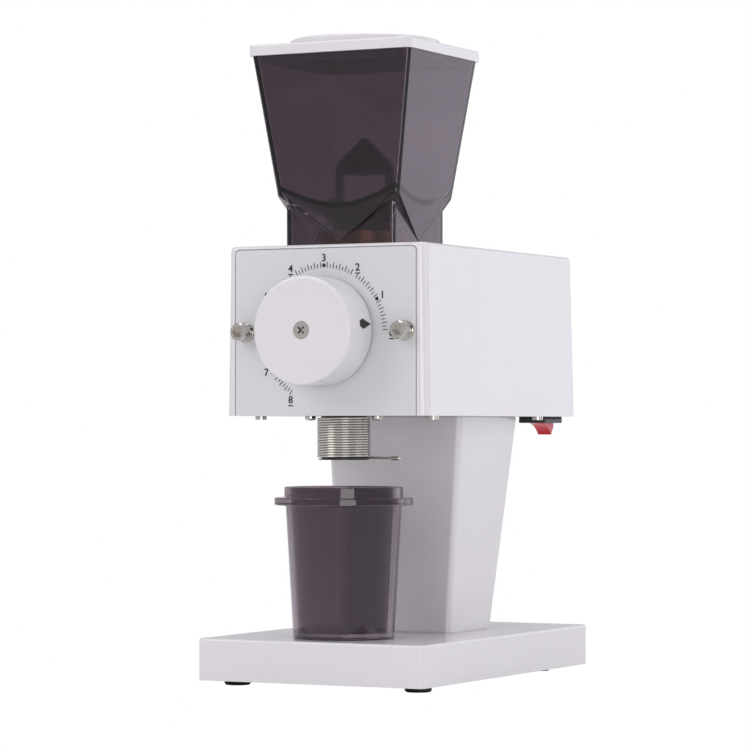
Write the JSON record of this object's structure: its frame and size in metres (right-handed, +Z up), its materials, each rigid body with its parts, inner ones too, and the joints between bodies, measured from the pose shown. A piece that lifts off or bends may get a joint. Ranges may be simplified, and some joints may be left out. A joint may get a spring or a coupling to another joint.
{
  "type": "burr coffee grinder",
  "caption": "Compact electric flat-burr coffee grinder with a smoked square hopper, large adjusting knob, dosing cup and rocker switch.",
  "frame": {"origin": "under the middle of the whole object, on the surface it stands on", "axes": "+Z up, the front with the knob faces -Y, +X to the right seen from the front"},
  "size_m": [0.123, 0.1996, 0.3163],
  "materials": {
    "white": "gloss warm white",
    "plate": "satin pale grey",
    "sheet_steel": "rolled sheet",
    "screw_steel": "bright plated",
    "tool_steel": "ground",
    "cast_aluminium": "cast, machined faces",
    "brass": "turned",
    "black_plastic": "moulded",
    "black_rubber": "moulded",
    "winding": "varnished winding",
    "smoked": "smoked translucent",
    "red": "gloss red"
  },
  "bodies": {
    "body": {"base_cover": "sheet_steel", "base_shell": "white", "bearing_balls": "tool_steel", "bearing_outer_races": "tool_steel", "burr_chamber": "cast_aluminium", "cable_gland": "black_plastic", "capacitor_clip": "sheet_steel", "chamber_cover": "cast_aluminium", "chute": "black_plastic", "chute_screws": "screw_steel", "clamp_screws": "screw_steel", "column": "white", "column_base_screws": "screw_steel", "column_top_screws": "screw_steel", "cover_screws": "screw_steel", "cradle_pad": "black_rubber", "dial_plate": "plate", "fixed_burr": "tool_steel", "fixed_burr_screws": "screw_steel", "flat_washers": "screw_steel", "floor_screws": "screw_steel", "foot_screws": "screw_steel", "gland_nut": "black_plastic", "hopper_gasket": "black_rubber", "housing_floor": "sheet_steel", "housing_shell": "white", "lock_washers": "screw_steel", "motor_bolts": "screw_steel", "motor_cradle": "cast_aluminium", "motor_front_bell": "cast_aluminium", "motor_rear_bell": "cast_aluminium", "rubber_feet": "black_rubber", "run_capacitor": "black_plastic", "shaft_seal": "black_rubber", "stator_core": "tool_steel", "stator_windings": "winding", "switch_frame": "black_plastic", "switch_gasket": "black_rubber", "switch_terminals": "brass", "throat_collar": "brass"},
    "thrust": {"thrust_pad": "brass"},
    "knob": {"adjusting_knob": "white", "knob_screw": "screw_steel", "adjusting_spindle": "tool_steel"},
    "rotor": {"motor_shaft": "tool_steel", "rotor_core": "tool_steel", "bearing_inner_races": "tool_steel", "cooling_fan": "black_plastic", "feed_auger": "cast_aluminium", "drive_pin": "tool_steel"},
    "disc": {"burr_carrier": "cast_aluminium", "moving_burr": "tool_steel", "moving_burr_screws": "screw_steel", "carrier_spring": "screw_steel"},
    "hopper": {"hopper": "smoked", "hopper_guard": "smoked"},
    "lid": {"lid": "white"},
    "cup": {"dosing_cup": "smoked"},
    "rocker": {"rocker": "red"},
    "spring": {"chute_spring": "screw_steel"}
  },
  "joints": [
    {"name": "spindle_feed", "type": "slide", "parent": "body", "child": "thrust", "axis": [0, -1, 0], "range_m": [-0.00004, 0.00097]},
    {"name": "knob_turn", "type": "hinge", "parent": "thrust", "child": "knob", "pos_m": [0, -0.0998, 0.1722], "axis": [0, -1, 0], "range_deg": [-8.6, 231.4]},
    {"name": "motor_spin", "type": "hinge", "parent": "body", "child": "rotor", "pos_m": [0, 0, 0.1722], "axis": [0, 1, 0], "continuous": true},
    {"name": "disc_feed", "type": "slide", "parent": "rotor", "child": "disc", "axis": [0, -1, 0], "range_m": [-0.00004, 0.00097]},
    {"name": "hopper_lift", "type": "slide", "parent": "body", "child": "hopper", "axis": [0, 0, 1], "range_m": [0, 0.12]},
    {"name": "lid_lift", "type": "slide", "parent": "hopper", "child": "lid", "axis": [0, 0, 1], "range_m": [0, 0.08]},
    {"name": "cup_slide", "type": "slide", "parent": "body", "child": "cup", "axis": [0, -1, 0], "range_m": [0, 0.12]},
    {"name": "rocker_rock", "type": "hinge", "parent": "body", "child": "rocker", "pos_m": [0.041, 0.0838, 0.1302], "axis": [1, 0, 0], "range_deg": [0, 46]},
    {"name": "spring_flick", "type": "hinge", "parent": "body", "child": "spring", "pos_m": [0, -0.0564, 0.12], "axis": [0, 0, 1], "range_deg": [-12, 12], "stiffness_Nm_per_rad": 0.02}
  ],
  "couplings": [
    {"joint": "spindle_feed", "follows": "knob_turn", "m_per_rad": 0.00023873},
    {"joint": "disc_feed", "follows": "knob_turn", "m_per_rad": 0.00023873}
  ]
}
